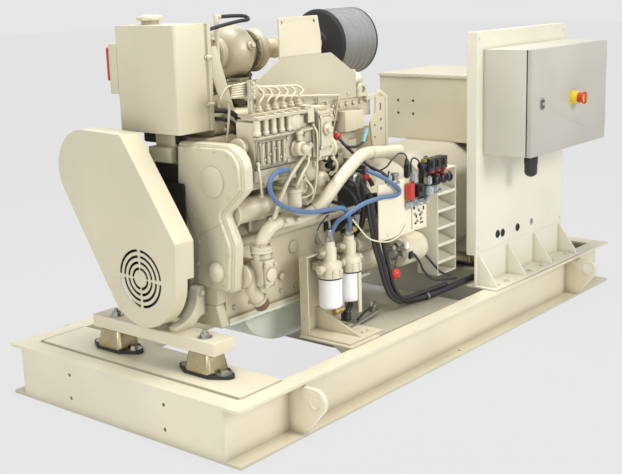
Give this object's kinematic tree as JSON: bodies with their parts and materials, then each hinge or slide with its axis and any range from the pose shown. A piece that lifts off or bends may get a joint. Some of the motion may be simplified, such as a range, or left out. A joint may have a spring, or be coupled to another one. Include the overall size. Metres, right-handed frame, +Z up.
{
  "type": "marine generator set",
  "caption": "Marine diesel generator set: six-cylinder engine and alternator on a channel skid with lifting lugs, belt guard, fuel filters and a side-mounted control cabinet.",
  "frame": {"origin": "middle of the skid, on the plane of its underside", "axes": "+X along the skid from the belt guard to the alternator, -Y towards the service side with the control cabinet, +Z up"},
  "size_m": [2.77, 1.4849, 1.446],
  "materials": {
    "cream_paint": "semi-gloss sprayed paint",
    "sump_paint": "satin paint in shade",
    "cabinet_paint": "fine textured powder coat",
    "plated_steel": "zinc and chromate plate",
    "bright_metal": "bright plated",
    "black_rubber": "moulded rubber",
    "black_plastic": "moulded plastic",
    "filter_mesh": "perforated sheet over dark pleats",
    "can_white": "gloss enamel",
    "red_plastic": "moulded plastic",
    "yellow_plastic": "moulded plastic",
    "blue_hose": "braid-covered hose",
    "plate_white": "satin paint",
    "brown_plastic": "moulded rubber cap",
    "cable_sheath": "cable sheath"
  },
  "bodies": {
    "root": {"side_beams": "cream_paint", "end_members": "cream_paint", "deck_members": "cream_paint", "deck_plates": "cream_paint", "lifting_lugs": "cream_paint", "mount_bases": "black_rubber", "mount_covers": "plated_steel", "front_support_beam": "cream_paint", "support_arms": "cream_paint", "engine_block": "cream_paint", "oil_pan": "sump_paint", "cylinder_head": "cream_paint", "rocker_cover": "cream_paint", "gear_housing": "cream_paint", "gear_cover": "cream_paint", "belt_guard": "cream_paint", "guard_brackets": "cream_paint", "belt_pulleys": "black_plastic", "accessory_drive": "cream_paint", "header_tank": "cream_paint", "tank_cap": "bright_metal", "tank_brackets": "cream_paint", "alarm_box": "cabinet_paint", "alarm_plate": "red_plastic", "exhaust_manifold": "cream_paint", "turbocharger": "cream_paint", "air_filter": "filter_mesh", "heat_shield": "cream_paint", "intake_manifold": "cream_paint", "rear_bracket": "cream_paint", "injection_pump": "cream_paint", "injection_pipes": "cream_paint", "raw_water_pump": "cream_paint", "drain_cap": "brown_plastic", "raw_water_pipe": "cream_paint", "flywheel_housing": "cream_paint", "starter_motor": "cream_paint", "filter_shelf": "cream_paint", "filter_rack": "cream_paint", "filter_heads": "cream_paint", "fuel_filters": "can_white", "filter_drain": "black_plastic", "alternator": "cream_paint", "terminal_box": "cream_paint", "air_outlet": "cream_paint", "instrument_plate": "plate_white", "relays": "black_plastic", "oil_drain_pump": "cream_paint", "panel_plate": "cream_paint", "panel_foot": "cream_paint", "control_box": "cabinet_paint", "cable_gland": "black_plastic", "box_hinges": "bright_metal", "fuel_hoses": "blue_hose", "cable_bundle": "black_rubber", "sensor_cable": "cable_sheath", "overflow_hose": "black_rubber"},
    "door": {"control_box_door": "cabinet_paint", "switch_plate": "yellow_plastic"},
    "knob": {"switch_knob": "red_plastic"}
  },
  "joints": [
    {"name": "door_hinge", "type": "hinge", "parent": "root", "child": "door", "pos_m": [1.062, -0.71, 1.018], "axis": [0, 0, 1], "range_deg": [0, 110]},
    {"name": "switch_turn", "type": "hinge", "parent": "door", "child": "knob", "pos_m": [0.718, -0.745, 1.012], "axis": [0, 1, 0], "range_deg": [0, 90]}
  ]
}
